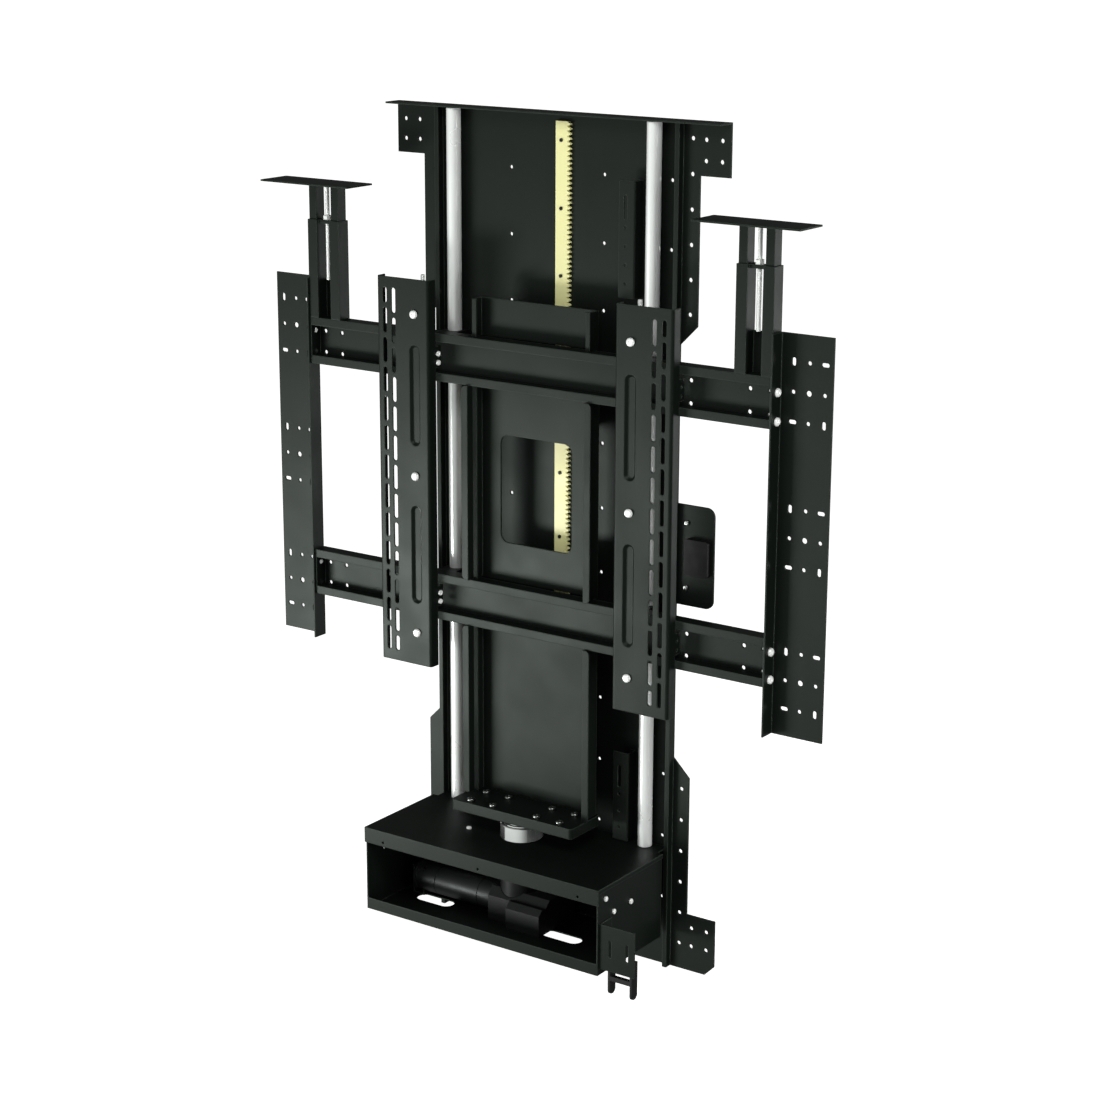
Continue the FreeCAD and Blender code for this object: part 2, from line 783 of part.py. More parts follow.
def drive_box():
    tray = body("drive_tray")
    base = rectangle(sketch(tray, "XY_Plane", "box_bottom"), ("-box_half", "box_half"), ("-box_front", "-box_back"))
    pad(tray, base, "box_tall")
    inside = rectangle(sketch(tray, "XY_Plane", "tray_top"),
                       ("-(box_half - box_sheet)", "box_half - box_sheet"),
                       ("-(box_front - box_sheet)", "-(box_back + box_sheet)"))
    pocket(tray, inside, "box_tall - box_sheet")
    mouth = rectangle(sketch(tray, "XZ_Plane", "box_front"),
                      ("-(box_half - box_sheet)", "box_half - box_sheet"),
                      ("box_bottom + box_front_lip", "tray_top"))
    pocket(tray, mouth, "box_sheet")
    slots = sketch(tray, "XY_Plane", "box_bottom")
    for across in ("-box_slot_left_x", "box_slot_right_x"):
        slot(slots, across, "-box_slot_off_wall", "box_slot_long", "box_slot_wide", False)
    pocket(tray, slots)

    lid = body("drive_lid")
    reach = "frame_half - rib_wide - lid_seat_gap"
    cover = outline(sketch(lid, "XY_Plane", "lid_top"),
                    [("-(box_half + box_sheet)", "-(box_front + box_sheet)"),
                     ("box_half + box_sheet", "-(box_front + box_sheet)"),
                     ("box_half + box_sheet", "-box_back"), (reach, "-box_back"), (reach, "plate_face"),
                     (f"-({reach})", "plate_face"), (f"-({reach})", "-box_back"),
                     ("-(box_half + box_sheet)", "-box_back")])
    pad(lid, cover, "lid_lip", backwards=True)
    under = rectangle(sketch(lid, "XY_Plane", "tray_top"), ("-box_half", "box_half"), ("-box_front", "0"))
    pocket(lid, under, "lid_lip")
    sides = rectangle(sketch(lid, "YZ_Plane"), ("-box_front", "0"), ("lid_top - lid_lip", "lid_top - lid_side_lip"))
    pocket(lid, sides)
    opening = sketch(lid, "XY_Plane", "lid_top")
    circle(opening, "0", "spindle_y", "sleeve_dia + 2 * stage_clearance")
    circle(opening, "-lid_screw_x", "-lid_screw_off_wall", "screw_dia + 2 * hole_clearance")
    pocket(lid, opening)
    rim = sketch(lid, "XZ_Plane", "box_front + box_sheet")
    for across in ("-lid_hole_x", "0", "lid_hole_x"):
        circle(rim, across, "lid_top - lid_hole_below", "screw_dia")
    lid.Tip = pocket(lid, rim, "2 * box_sheet")

    screws = [screw("z", 1, "box_sheet", "-lid_screw_x", "-lid_screw_off_wall", "lid_top")]
    spots = [("-(box_front - side_screw_front)", "lid_top - side_screw_high"),
             ("-(box_front - side_screw_middle)", "lid_top - side_screw_low"),
             ("-(box_front - side_screw_back)", "lid_top - side_screw_low")]
    holes = sketch(tray, "YZ_Plane")
    for spot in spots:
        circle(holes, *spot, "screw_dia + 2 * hole_clearance")
    tray.Tip = pocket(tray, holes)
    for sign, side in (("", 1), ("-", -1)):
        screws += [screw("x", side, "box_sheet", f"{sign}box_half", *spot) for spot in spots]
    node("drive_box_screws", group(*screws))


def drive():
    motor = fuse(bar("x", "motor_dia", "motor_long", "-(motor_end_x + motor_long)", "motor_y", "motor_z"),
                 bar("x", "motor_flange_dia", "motor_flange_thick", "-motor_end_x", "motor_y", "motor_z"),
                 bar("x", "motor_boss_dia", "motor_boss_long",
                     "-(motor_end_x + motor_long + motor_boss_long)", "motor_y", "motor_z"))
    node("drive_motor", motor)

    holder = body("motor_bracket")
    far = "-(motor_end_x + motor_long + bracket_arm_spread)"
    close = "-(motor_end_x + motor_long)"
    shape = sketch(holder, "XZ_Plane", "motor_off_wall + bracket_arm_wide / 2")
    high = "motor_z + motor_dia / 2"
    step = "bracket_arm_thick"
    outline(shape, [(far, "floor_top"), (close, "floor_top"), (close, high), (f"{close} - {step}", high),
                    (f"{close} - {step}", f"floor_top + {step}"), (f"{far} + {step}", f"floor_top + {step}"),
                    (f"{far} + {step}", high), (far, high)])
    pad(holder, shape, "bracket_arm_wide", backwards=True)
    seat = sketch(holder, "YZ_Plane")
    circle(seat, "motor_y", "motor_z", "motor_boss_dia + 2 * hole_clearance")
    holder.Tip = pocket(holder, seat)

    gearbox = body("worm_gearbox")
    top = "floor_top + gearbox_tall"
    section = outline(sketch(gearbox, "YZ_Plane", "gearbox_left"),
                      [("-gearbox_front", "floor_top"), ("-gearbox_back", "floor_top"),
                       ("-gearbox_back", f"{top} - gearbox_chamfer"), ("-(gearbox_back + gearbox_chamfer)", top),
                       ("-(gearbox_front - gearbox_chamfer)", top), ("-gearbox_front", f"{top} - gearbox_chamfer")])
    pad(gearbox, section, "gearbox_right - (gearbox_left)")
    lip = "-(gearbox_front + cover_deep)"
    crest = "floor_top + cover_tall"
    cover = outline(sketch(gearbox, "YZ_Plane", "cover_left"),
                    [(lip, "floor_top"), ("-gearbox_front", "floor_top"), ("-gearbox_front", crest),
                     (f"{lip} + cover_chamfer", crest), (lip, f"{crest} - cover_chamfer")])
    pad(gearbox, cover, "gearbox_right - cover_left")
    bore = sketch(gearbox, "XY_Plane", "floor_top")
    circle(bore, "0", "spindle_y", "sleeve_dia + 2 * hole_clearance")
    gearbox.Tip = pocket(gearbox, bore)


def spindle():
    """A fixed sleeve and three nested stages; the last one carries the foot plate."""
    low = "floor_top + stage_bottom_gap"
    stages = [("spindle_sleeve", "floor_top", "foot_z - sleeve_below_foot"),
              ("spindle_stage_lower", low, "foot_z - sleeve_below_foot + stage_top_step"),
              ("spindle_stage_middle", low, "foot_z - sleeve_below_foot + 2 * stage_top_step"),
              ("spindle_stage_upper", low, "foot_z")]
    for index, (name, start, end) in enumerate(stages):
        outer = f"sleeve_dia - {index} * stage_step"
        inner = f"sleeve_dia - {index} * stage_step - 2 * stage_wall"
        long = f"({end}) - ({start})"
        node(name, cut(bar("z", outer, long, "0", "spindle_y", start),
                       bar("z", inner, long, "0", "spindle_y", start)))


def cable_chain():
    piece = body("chain_bracket")
    front = "-(box_front - chain_plate_in)"
    right = "box_half + chain_plate_wide"
    angle = sketch(piece, "XY_Plane", "chain_plate_z")
    outline(angle, [("box_half", front), (right, front), (right, f"{front} + chain_sheet"),
                    ("box_half + chain_sheet", f"{front} + chain_sheet"),
                    ("box_half + chain_sheet", f"{front} + chain_leg"), ("box_half", f"{front} + chain_leg")])
    pad(piece, angle, "chain_plate_tall")
    slots = sketch(piece, "XZ_Plane", "box_front")
    for index in range(2):
        slot(slots, f"box_half + chain_slot_in + {index} * chain_slot_step",
             "chain_plate_z + chain_plate_tall / 2", "chain_slot_long", "chain_slot_wide", True)
    piece.Tip = pocket(piece, slots)

    link = body("chain_end_link")
    back = f"{front} + chain_sheet"
    high = "chain_plate_z + link_lap"
    left = "box_half + link_in"
    bars = rectangle(sketch(link, "YZ_Plane", left), (back, f"{back} + link_bar"),
                     (f"{high} - link_bar_drop", f"{high} - link_bar_drop + link_bar"))
    pad(link, bars, "link_wide")
    for index in range(2):
        cheek = sketch(link, "YZ_Plane", f"{left} + {index} * (link_wide - link_cheek)")
        rectangle(cheek, (back, f"{back} + link_deep"), (f"{high} - link_tall", high))
        pad(link, cheek, "link_cheek")
    rounded(link, "link_deep / 2 - link_cheek / 8",
            lambda line: runs(line, "x") and near(line.BoundBox.ZMin, f"{high} - link_tall"))


# Carriage


def foot():
    piece = body("foot_plate")
    back = "-(panel_off_wall - panel_sheet)"
    base = rectangle(sketch(piece, "XY_Plane", "foot_z"), ("-foot_half", "foot_half"), ("-foot_front", back))
    pad(piece, base, "foot_thick")
    rounded(piece, "foot_corner", lambda line: runs(line, "z"))
    holes = sketch(piece, "XY_Plane", "foot_z")
    bolts = []
    for sign in ("", "-"):
        for column in range(2):
            for line in range(2):
                across = f"{sign}(foot_bolt_x - {column} * foot_bolt_step_x)"
                along = f"-(foot_front - foot_bolt_front) + {line} * foot_bolt_step_y"
                circle(holes, across, along, "bolt_dia + 2 * hole_clearance")
                bolts.append(bolt("z", 1, "foot_thick", across, along, "foot_top"))
    piece.Tip = pocket(piece, holes)
    node("foot_bolts", group(*bolts))


def carriage_panel():
    """Lipped channels that open to the front, set between and beyond the beams."""
    zones = (("upper", "beam_upper_top", "panel_top"), ("middle", "beam_lower_top", "beam_upper_z"),
             ("lower", "foot_top", "beam_lower_z"))
    inner = "panel_half - panel_sheet"
    lip = "panel_half - panel_lip"
    right = [("panel_half", "-panel_off_wall"), ("panel_half", "panel_front"), (lip, "panel_front"),
             (lip, "panel_front + panel_sheet"), (inner, "panel_front + panel_sheet"), (inner, "panel_face")]
    left = [(f"-({across})", along) for across, along in reversed(right)]
    for zone, low, high in zones:
        piece = body(f"carriage_panel_{zone}")
        pad(piece, outline(sketch(piece, "XY_Plane", low), right + left), f"({high}) - ({low})")
        if zone == "middle":
            window = rectangle(sketch(piece, "XZ_Plane"), ("-(window_half + window_off)", "window_half - window_off"),
                               (f"{low} + window_lift", f"{low} + window_lift + window_tall"))
            piece.Tip = pocket(piece, window)
            rounded(piece, "window_round", lambda line: runs(line, "y")
                    and near(abs(line.BoundBox.XMin + number("window_off")), "window_half"))


def panel_cheeks():
    """Angles beside the panel, between the beams and below the lower one."""
    zones = (("upper", "beam_lower_top", "beam_upper_z"), ("lower", "foot_top", "beam_lower_z"))
    for zone, low, high in zones:
        piece = body(f"panel_cheek_right_{zone}")
        near_side = "panel_half + cheek_sheet"
        far_side = "panel_half + cheek_lip"
        angle = outline(sketch(piece, "XY_Plane", low),
                        [("panel_half", "-panel_off_wall"), ("panel_half", "-cheek_front"),
                         (far_side, "-cheek_front"), (far_side, "-cheek_front + cheek_sheet"),
                         (near_side, "-cheek_front + cheek_sheet"), (near_side, "-panel_off_wall")])
        pad(piece, angle, f"{high} - {low}")
        rounded(piece, "cheek_round", lambda line: runs(line, "y") and near(line.BoundBox.XMax, far_side))
        node(f"panel_cheek_left_{zone}", mirrored(piece))


def cross_beams():
    """Web plates with closed ends; a folded ledge at the top and bottom has its lip turned down."""
    for name, low in (("upper", "beam_upper_z"), ("lower", "beam_lower_z")):
        high = f"{low} + beam_tall"
        mid = "beam_face - beam_sheet"
        front = "beam_front + beam_sheet"
        piece = body(f"cross_beam_{name}")
        plan = outline(sketch(piece, "XY_Plane", low),
                       [("-beam_half", "beam_face"), ("-beam_half", "beam_front"),
                        ("-beam_half + beam_sheet", "beam_front"), ("-beam_half + beam_sheet", mid),
                        ("beam_half - beam_sheet", mid), ("beam_half - beam_sheet", "beam_front"),
                        ("beam_half", "beam_front"), ("beam_half", "beam_face")])
        pad(piece, plan, "beam_tall")
        web = sketch(piece, "XZ_Plane")
        for sign in ("", "-"):
            for across in ("beam_hole_x", "(beam_hole_x - beam_hole_step_x)", "beam_hole_inner_x"):
                for step in ("", " + beam_hole_step_z"):
                    circle(web, f"{sign}{across}", f"{low} + beam_hole_z{step}", "beam_hole_dia")
        pocket(piece, web)
        ends = sketch(piece, "YZ_Plane")
        for step in ("", " + wing_bolt_step"):
            circle(ends, "mast_y", f"{low} + wing_bolt_low{step}", "bolt_dia + 2 * hole_clearance")
        piece.Tip = pocket(piece, ends)
        for place_name, edge in (("top", high), ("bottom", f"{low} + beam_lip")):
            ledge = body(f"beam_ledge_{name}_{place_name}")
            section = outline(sketch(ledge, "YZ_Plane"),
                              [(mid, edge), ("beam_front", edge), ("beam_front", f"{edge} - beam_lip"),
                               (front, f"{edge} - beam_lip"), (front, f"{edge} - beam_sheet"),
                               (mid, f"{edge} - beam_sheet")])
            pad(ledge, section, "2 * (beam_half - beam_sheet)", both=True)


def rail_bearings():
    """Blocks that run on the rails, bolted behind the beams."""
    for zone, low in (("upper", "beam_upper_z"), ("lower", "beam_lower_z")):
        piece = body(f"rail_bearing_right_{zone}")
        start = f"{low} + (beam_tall - bearing_tall) / 2"
        left = "rail_x - bearing_wide / 2"
        right = "rail_x + bearing_wide / 2"
        back = "plate_face - bearing_wall_gap"
        step = "bearing_wide / 6"
        section = sketch(piece, "XY_Plane", start)
        outline(section, [(left, "beam_face"), (right, "beam_face"), (right, f"beam_face + {step}"),
                          (f"{right} - {step}", f"beam_face + 2 * {step}"), (f"{right} - {step}", back),
                          (f"{left} + {step}", back), (f"{left} + {step}", f"beam_face + 2 * {step}"),
                          (left, f"beam_face + {step}")])
        circle(section, "rail_x", "rail_y", "rail_dia + 2 * rail_clearance")
        pad(piece, section, "bearing_tall")
        node(f"rail_bearing_left_{zone}", mirrored(piece))


def screen_brackets():
    piece = body("screen_bracket_right")
    far = "screen_end"
    inner = "screen_x + screen_sheet"
    outer = "screen_end - screen_sheet"
    profile = outline(sketch(piece, "XY_Plane", "screen_z"),
                      [("screen_x", "tongue_back"), ("screen_x", "screen_front"), (far, "screen_front"),
                       (far, "tongue_back"), (outer, "tongue_back"), (outer, "screen_face"),
                       (inner, "screen_face"), (inner, "tongue_back")])
    pad(piece, profile, "screen_tall")
    rounded(piece, "screen_bend", lambda line: runs(line, "z") and near(line.BoundBox.YMin, "screen_front"))
    cuts = sketch(piece, "YZ_Plane")
    spans = (("screen_z", "tongue_lower_z"), ("tongue_lower_z + tongue_tall", "tongue_upper_z"),
             ("tongue_upper_z + tongue_tall", "screen_top"))
    for low, high in spans:
        rectangle(cuts, ("beam_front", "tongue_back + screen_sheet"), (low, high))
    pocket(piece, cuts)
    hook_left = "screen_bolt_x - hook_wide / 2"
    hook = rectangle(sketch(piece, "XY_Plane", "hook_z"), (hook_left, f"{hook_left} + hook_wide"),
                     ("screen_face", "screen_face + hook_reach"))
    pad(piece, hook, "hook_thick")
    passage = sketch(piece, "XY_Plane")
    circle(passage, "screen_bolt_x", "screen_front + level_screw_from_front",
           "level_screw_dia + 2 * hole_clearance")
    pocket(piece, passage)
    last = "slot_pitch * slot_rows"
    columns = (("slot_inner_in", "screen_top - slot_from_end - slot_long / 2",
                f"screen_top - slot_from_end - {last} - slot_short / 2"),
               ("slot_outer_in", "screen_top - slot_from_end - slot_short - (slot_pitch - slot_long) - slot_long / 2",
                "screen_top - slot_from_end - slot_short / 2"))
    for inset, first, single in columns:
        lone = sketch(piece, "XZ_Plane")
        slot(lone, f"{far} - {inset}", single, "slot_short", "slot_wide", True)
        pocket(piece, lone)
        long_slot = sketch(piece, "XZ_Plane")
        slot(long_slot, f"{far} - {inset}", first, "slot_long", "slot_wide", True)
        row(piece, pocket(piece, long_slot), "Z_Axis", "slot_pitch", "slot_rows", True)
    grooves = sketch(piece, "XZ_Plane", "-(screen_front)")
    swells = sketch(piece, "XZ_Plane", "-(screen_face)")
    holes = sketch(piece, "XZ_Plane")
    for index in range(3):
        along = f"screen_bolt_z - {index} * screen_bolt_pitch"
        circle(holes, "screen_bolt_x", along, "bolt_dia + 2 * hole_clearance")
        if index:
            middle = f"{along} + screen_bolt_pitch - groove_from_bolt - groove_long / 2"
            slot(swells, "screen_bolt_x", middle, "groove_long", "groove_wide", True)
            slot(grooves, "screen_bolt_x", middle, "groove_long - 2 * groove_slope",
                 "groove_wide - 2 * groove_slope", True)
    pad(piece, swells, "groove_sink", backwards=True)
    pocket(piece, grooves, "groove_sink")
    sloped(piece, "groove_slope", lambda line: near(line.BoundBox.YMax, "screen_front")
           and abs(line.BoundBox.Center.x - number("screen_bolt_x")) < number("groove_wide") / 2)
    piece.Tip = pocket(piece, holes)
    clamp_holes = sketch(piece, "YZ_Plane")
    clamp_y = "beam_front + tongue_reach / 2 - beam_sheet / 2"
    for low in ("tongue_upper_z", "tongue_lower_z"):
        for step in ("", " + clamp_step"):
            circle(clamp_holes, clamp_y, f"{low} + clamp_from_tongue{step}", "screw_dia + 2 * hole_clearance")
    piece.Tip = pocket(piece, clamp_holes)
    node("screen_bracket_left", mirrored(piece))

    bolts = []
    clamps = []
    levels = []
    for sign, side in (("", 1), ("-", -1)):
        for index in range(3):
            bolts.append(bolt("y", -1, "screen_sheet + bolt_head_tall", f"{sign}(screen_bolt_x)", "screen_front",
                              f"screen_bolt_z - {index} * screen_bolt_pitch"))
        for low in ("tongue_upper_z", "tongue_lower_z"):
            for step in ("", " + clamp_step"):
                clamps.append(screw("x", -side, "screen_sheet + screw_head_tall", f"{sign}screen_x", clamp_y,
                                    f"{low} + clamp_from_tongue{step}"))
        levels.append(bar("z", "level_screw_dia", "screen_top + level_screw_above - (beam_upper_top)",
                          f"{sign}(screen_bolt_x)", "screen_front + level_screw_from_front", "beam_upper_top"))
    node("bracket_bolts", group(*bolts))
    node("clamp_screws", group(*clamps))
    node("levelling_screws", group(*levels))


def wing_plates():
    bolts = []
    for side, sign in (("left", "-"), ("right", "")):
        piece = body(f"wing_plate_{side}")
        inner = "beam_half"
        bend = "beam_half + wing_sheet"
        face = "wing_back - wing_sheet"
        front = "wing_back - wing_flange"
        profile = outline(sketch(piece, "XY_Plane", "wing_z"),
                          [(f"{sign}({across})", along) for across, along in (
                              (inner, front), (bend, front), (bend, face), ("wing_outer", face),
                              ("wing_outer", "wing_back"), (inner, "wing_back"))])
        pad(piece, profile, "wing_tall")
        rounded(piece, "wing_bend", lambda line: runs(line, "z") and near(line.BoundBox.YMax, "wing_back")
                and near(abs(line.BoundBox.XMax), inner))
        holes = sketch(piece, "XZ_Plane")
        columns = [f"{sign}(wing_outer - wing_column_in - {step} * wing_column_step)" for step in range(3)]
        if side == "right":
            columns.reverse()
        rows = [f"wing_top - wing_group_from_top + {step} * wing_row_step" for step in (1, 0, -1)]
        for line, along in enumerate(rows):
            for column, across in enumerate(columns):
                if line != 1 and column != 1:
                    slot(holes, across, along, "wing_slot_long", "wing_hole_dia", line == column)
                else:
                    wide = "wing_centre_dia" if line == column else "wing_hole_dia"
                    circle(holes, across, along, wide)
        row(piece, pocket(piece, holes), "Z_Axis", "wing_group_pitch", "3", True)
        ends = sketch(piece, "YZ_Plane")
        for low in ("beam_upper_z", "beam_lower_z"):
            for step in ("", " + wing_bolt_step"):
                along = f"{low} + wing_bolt_low{step}"
                circle(ends, "mast_y", along, "bolt_dia + 2 * hole_clearance")
                bolts.append(bolt("x", -1 if sign else 1, "beam_sheet + wing_sheet",
                                  f"{sign}({bend})", "mast_y", along))
        piece.Tip = pocket(piece, ends)
    node("wing_bolts", group(*bolts))


def brake():
    """The brake's housing on the back of the panel and its pinion on the rack."""
    shaft_start = "pinion_back - pinion_face"
    housing = body("brake_housing")
    half = "brake_wide / 2"
    face = rectangle(sketch(housing, "XZ_Plane", "-(brake_back)"),
                     (f"pinion_x - {half}", f"pinion_x + {half}"), (f"pinion_z - {half}", f"pinion_z + {half}"))
    pad(housing, face, "panel_off_wall + (brake_back)")
    rounded(housing, "brake_corner", lambda line: runs(line, "y"))
    bore = sketch(housing, "XZ_Plane", "-(brake_back)")
    circle(bore, "pinion_x", "pinion_z", "pinion_shaft_dia + 2 * shaft_clearance")
    housing.Tip = pocket(housing, bore)

    module = number("tooth_module")
    teeth = int(number("pinion_teeth"))
    pitch_radius = number("pinion_radius")
    angle = math.radians(number("pressure_angle"))
    base = pitch_radius * math.cos(angle)
    root = pitch_radius - 1.25 * module
    tip = pitch_radius + module
    half_tooth = (math.pi * module / 2 - number("mesh_clearance")) / (2 * pitch_radius)
    spread = math.tan(angle) - angle
    flank = []
    for radius in (max(root, base), pitch_radius, tip):
        roll = math.acos(min(1.0, base / radius))
        flank.append((radius, half_tooth + spread - (math.tan(roll) - roll)))
    flank.insert(0, (root, flank[0][1]))
    ring = []
    for index in range(teeth):
        middle = 2 * math.pi * (index + 0.5) / teeth
        ring += [(radius, middle - turn) for radius, turn in flank]
        ring += [(radius, middle + turn) for radius, turn in reversed(flank)]
    centre = vector(number("pinion_x"), number("pinion_back"), number("pinion_z"))
    points = [centre + vector(radius * math.cos(turn), 0, radius * math.sin(turn)) for radius, turn in ring]
    gear = doc.addObject("Part::Feature", "gear")
    gear.Shape = Part.Face(Part.makePolygon(points + points[:1])).extrude(vector(0, -number("pinion_face"), 0))
    shaft = bar("y", "pinion_shaft_dia", "pinion_shaft_long", "pinion_x",
                f"{shaft_start} - pinion_shaft_long", "pinion_z")
    node("brake_pinion", fuse(gear, shaft))


# Masts


def masts():
    tubes = (("mast_inner", "mast_inner + mast_tube"), ("mast_outer - mast_tube", "mast_outer"))
    solid = []
    hollow = []
    legs = []
    cores = []
    gap = "mast_wall + mast_clearance"
    low = "mast_top - mast_hidden"
    for left, right in tubes:
        solid.append(block((left, right), ("beam_front", "beam_face"), ("beam_upper_top", "mast_top")))
        hollow.append(block((f"{left} + mast_wall", f"{right} - mast_wall"),
                            ("beam_front + mast_wall", "beam_face - mast_wall"), ("beam_upper_top", "mast_top")))
        legs.append(block((f"{left} + {gap}", f"{right} - ({gap})"),
                          (f"beam_front + {gap}", f"beam_face - ({gap})"), (low, "mast_plate_z")))
        wall = f"({gap} + mast_inner_wall)"
        cores.append(block((f"{left} + {wall}", f"{right} - {wall}"),
                           (f"beam_front + {wall}", f"beam_face - {wall}"), (low, "mast_plate_z")))
    between = ("mast_inner + mast_tube", "mast_outer - mast_tube")
    infill = block(between, ("beam_face - beam_sheet", "beam_face"),
                   ("beam_upper_top", "beam_upper_top + mast_infill_tall"))
    tie = block(between, ("mast_y - mast_tie_deep / 2", "mast_y + mast_tie_deep / 2"),
                ("mast_top - mast_tie_thick", "mast_top"))
    rod_hole = "mast_rod_dia + 2 * hole_clearance"
    drilled = cut(tie, bar("z", rod_hole, "mast_tie_thick", "mast_x", "mast_y", "mast_top - mast_tie_thick"))
    sleeve = fuse(cut(solid[0], hollow[0]), cut(solid[1], hollow[1]), infill, drilled)
    node("mast_sleeve_right", sleeve)
    node("mast_sleeve_left", mirrored(sleeve))

    plate_back = "beam_face - mast_plate_back"
    plate_left = "mast_x + mast_plate_in - mast_plate_wide / 2"
    plate = block((plate_left, f"{plate_left} + mast_plate_wide"), (f"{plate_back} - mast_plate_deep", plate_back),
                  ("mast_plate_z", "mast_plate_z + mast_plate_thick"))
    top = fuse(cut(legs[0], cores[0]), cut(legs[1], cores[1]), plate)
    node("mast_top_right", top)
    node("mast_top_left", mirrored(top))

    nuts = []
    for side, sign in (("left", "-"), ("right", "")):
        across = f"{sign}(mast_x)"
        rod = bar("z", "mast_rod_dia", "mast_rod_long", across, "mast_y", "mast_plate_z - mast_rod_long")
        node(f"mast_rod_{side}", rod)
        hexagon = doc.addObject("Part::Prism", "hexagon")
        hexagon.Polygon = 6
        bind(hexagon, "Circumradius", "nut_across / 2 / cos(30 deg)")
        bind(hexagon, "Height", "nut_tall")
        place(hexagon, across, "mast_y", "mast_top")
        nuts.append(cut(hexagon, bar("z", rod_hole, "nut_tall", across, "mast_y", "mast_top")))
    node("mast_nuts", group(*nuts))


wall_frame()
guide_rails()
gear_rack()
limit_strip("limit_strip_upper", "frame_tall - strip_upper_from_top - strip_upper_tall", "strip_upper_tall")
limit_strip("limit_strip_lower", "lid_top + stage_top_step", "strip_lower_tall")
socket()
drive_box()
drive()
spindle()
cable_chain()
foot()
carriage_panel()
panel_cheeks()
cross_beams()
rail_bearings()
screen_brackets()
wing_plates()
brake()
masts()
doc.recompute()

faults = [item.Name for item in doc.Objects if "Invalid" in item.State or "Error" in item.State]
faults += [name for name, item in NODES.items() if item.Shape.isNull() or not item.Shape.isValid()]
if faults:
    raise RuntimeError("not built: " + ", ".join(faults))
os.makedirs("parts", exist_ok=True)
for name, item in NODES.items():
    item.Shape.exportStep(f"parts/{name}.step")
print(len(NODES), "sub-parts written")
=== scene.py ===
import json
import math

import bmesh
import bpy
from mathutils import Euler, Matrix, Vector


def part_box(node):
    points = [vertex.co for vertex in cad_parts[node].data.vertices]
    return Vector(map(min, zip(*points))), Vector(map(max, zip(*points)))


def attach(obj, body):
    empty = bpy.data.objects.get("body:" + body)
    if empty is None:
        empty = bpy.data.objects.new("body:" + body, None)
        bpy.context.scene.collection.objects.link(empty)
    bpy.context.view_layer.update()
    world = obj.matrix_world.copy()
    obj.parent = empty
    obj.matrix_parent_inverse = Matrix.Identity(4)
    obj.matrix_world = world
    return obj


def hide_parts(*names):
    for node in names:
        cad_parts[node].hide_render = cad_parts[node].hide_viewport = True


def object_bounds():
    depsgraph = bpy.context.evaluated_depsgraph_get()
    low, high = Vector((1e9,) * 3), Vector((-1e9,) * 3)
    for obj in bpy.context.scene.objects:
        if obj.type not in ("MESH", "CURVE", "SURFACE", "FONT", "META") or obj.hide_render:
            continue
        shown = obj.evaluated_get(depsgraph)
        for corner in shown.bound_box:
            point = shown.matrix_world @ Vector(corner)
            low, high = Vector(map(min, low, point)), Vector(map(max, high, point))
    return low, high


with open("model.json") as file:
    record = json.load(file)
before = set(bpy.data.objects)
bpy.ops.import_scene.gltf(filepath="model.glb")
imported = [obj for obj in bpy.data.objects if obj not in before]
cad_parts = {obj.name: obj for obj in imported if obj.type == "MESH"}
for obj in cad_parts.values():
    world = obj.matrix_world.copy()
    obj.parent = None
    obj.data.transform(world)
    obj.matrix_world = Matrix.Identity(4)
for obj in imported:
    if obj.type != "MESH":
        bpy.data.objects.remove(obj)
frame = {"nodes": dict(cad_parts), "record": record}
cadLow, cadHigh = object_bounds()
nodeSlot = {row["node"]: row["material_slot"] for row in frame["record"]["subparts"]}
nodeBody = {node: body for body, nodes in frame["record"]["behaviour"]["bodies"].items() for node in nodes}
print("frame loaded:", len(frame["nodes"]), "CAD nodes")


# Materials

def hexLinear(code):
    channels = [int(code[i:i + 2], 16) / 255 for i in (1, 3, 5)]
    return [c / 12.92 if c <= 0.04045 else ((c + 0.055) / 1.055) ** 2.4 for c in channels] + [1.0]


def addNode(tree, kind, settings=None, links=None):
    node = tree.nodes.new(kind)
    for name, value in (settings or {}).items():
        if name in node.inputs:
            node.inputs[name].default_value = value
        else:
            setattr(node, name, value)
    for name, socket in (links or {}).items():
        tree.links.new(socket, node.inputs[name])
    return node


def newMaterial(name, look):
    material = bpy.data.materials.new(name)
    material.use_nodes = True
    material.diffuse_color = hexLinear(look["colour"])
    tree = material.node_tree
    tree.nodes.clear()
    shader = addNode(tree, "ShaderNodeBsdfPrincipled", {
        "Base Color": hexLinear(look["colour"]), "Metallic": look.get("metallic", 0.0),
        "Roughness": look["roughness"], "Specular IOR Level": look.get("shine", 0.5),
        "Specular Tint": hexLinear(look.get("sheenTint", "#ffffff"))})
    addNode(tree, "ShaderNodeOutputMaterial", links={"Surface": shader.outputs["BSDF"]})
    return material, tree, shader


surfaceRecipe = {
    "grainDetail": 3.0, "mottleDetail": 2.0, "edgeSamples": 4,
    "mottleFrom": 0.3, "mottleTo": 0.7,  # noise values that give the lowest and highest roughness
    "highlightFrom": 0.995, "highlightTo": 0.8,  # cosines of the edge's turn where the painted edge highlight starts and is full
}


